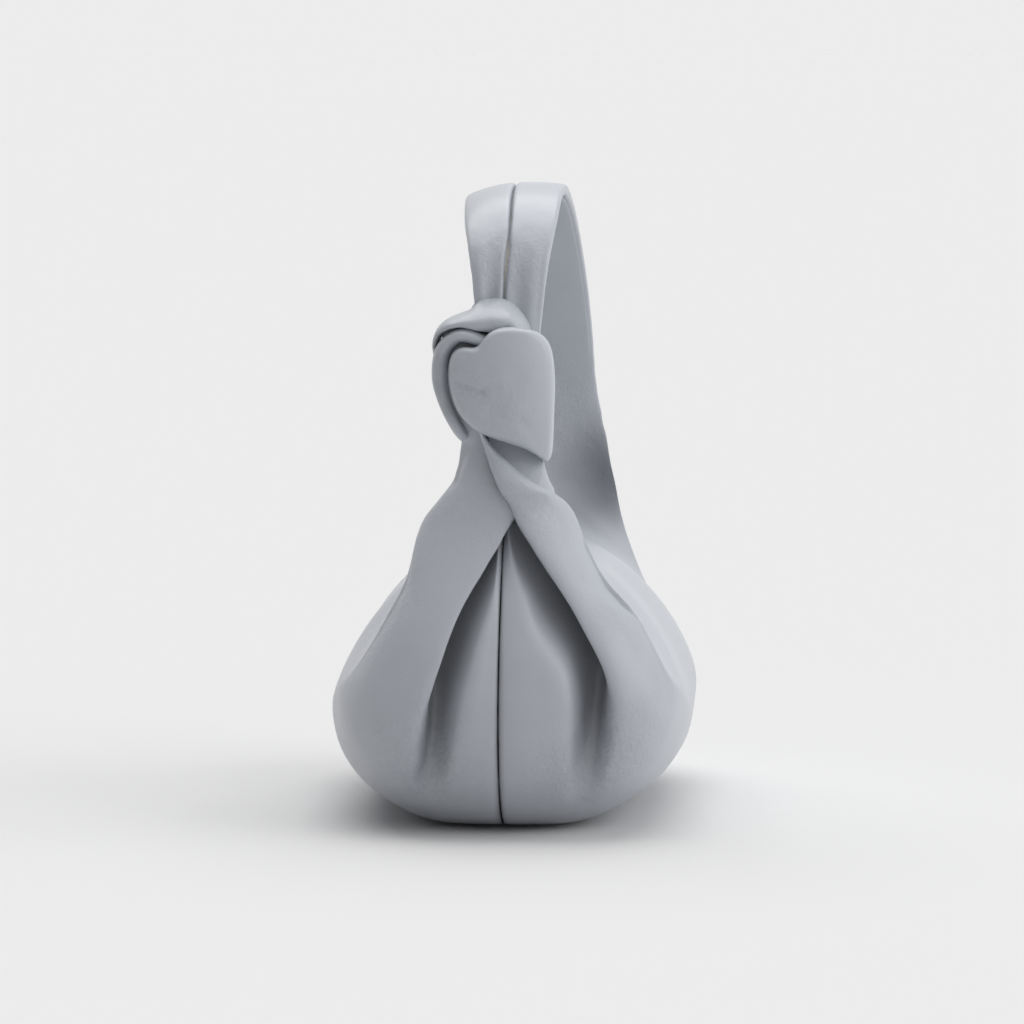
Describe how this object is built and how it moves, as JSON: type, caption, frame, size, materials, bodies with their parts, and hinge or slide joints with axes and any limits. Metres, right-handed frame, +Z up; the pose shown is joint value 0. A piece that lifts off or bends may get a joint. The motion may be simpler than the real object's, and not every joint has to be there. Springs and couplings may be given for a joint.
{
  "type": "knotted strap hobo bag",
  "caption": "Small soft leather hobo bag: gathered pouch with a zip mouth and a single shoulder strap tied in an overhand knot above one end.",
  "frame": {"origin": "on the floor under the middle of the bag", "axes": "+X along the bag towards the knotted end, +Y to the right as seen looking at the knotted end, +Z up"},
  "size_m": [0.25, 0.145, 0.25],
  "materials": {
    "grey_leather": "smooth nappa, soft sheen",
    "inner_leather": "smooth, more matt than the outside",
    "lining_cloth": "brushed cotton lining",
    "zip_tape": "woven tape",
    "nickel": "polished nickel",
    "webbing": "woven webbing"
  },
  "bodies": {
    "pouch": {"left_panel": "grey_leather", "right_panel": "grey_leather", "left_lining": "lining_cloth", "right_lining": "lining_cloth", "slip_pocket": "lining_cloth", "zip_tape_left": "zip_tape", "zip_tape_right": "zip_tape", "zip_teeth_left": "nickel", "zip_teeth_right": "nickel", "zip_top_stop_left": "nickel", "zip_top_stop_right": "nickel", "zip_bottom_stop": "nickel"},
    "strap": {"near_neck_left": "grey_leather", "near_neck_right": "grey_leather", "far_neck_left": "grey_leather", "far_neck_right": "grey_leather", "strap_left": "grey_leather", "strap_right": "grey_leather", "strap_core": "webbing", "strap_facing": "inner_leather", "knot": "grey_leather"},
    "slider": {"zip_slider": "nickel"},
    "puller": {"zip_puller": "nickel", "zip_pull_strip": "inner_leather"}
  },
  "joints": [
    {"name": "strap_fold", "type": "hinge", "parent": "pouch", "child": "strap", "pos_m": [0, 0, 0.15], "axis": [1, 0, 0], "range_deg": [-65, 65], "deforming": ["near_neck_left", "near_neck_right", "far_neck_left", "far_neck_right"]},
    {"name": "zip_slide", "type": "slide", "parent": "pouch", "child": "slider", "axis": [1, 0, 0], "range_m": [-0.07, 0], "deforming": ["zip_teeth_left", "zip_teeth_right"]},
    {"name": "puller_swing", "type": "hinge", "parent": "slider", "child": "puller", "pos_m": [0.0478, 0, 0.1078], "axis": [0, 1, 0], "range_deg": [0, 75]}
  ]
}
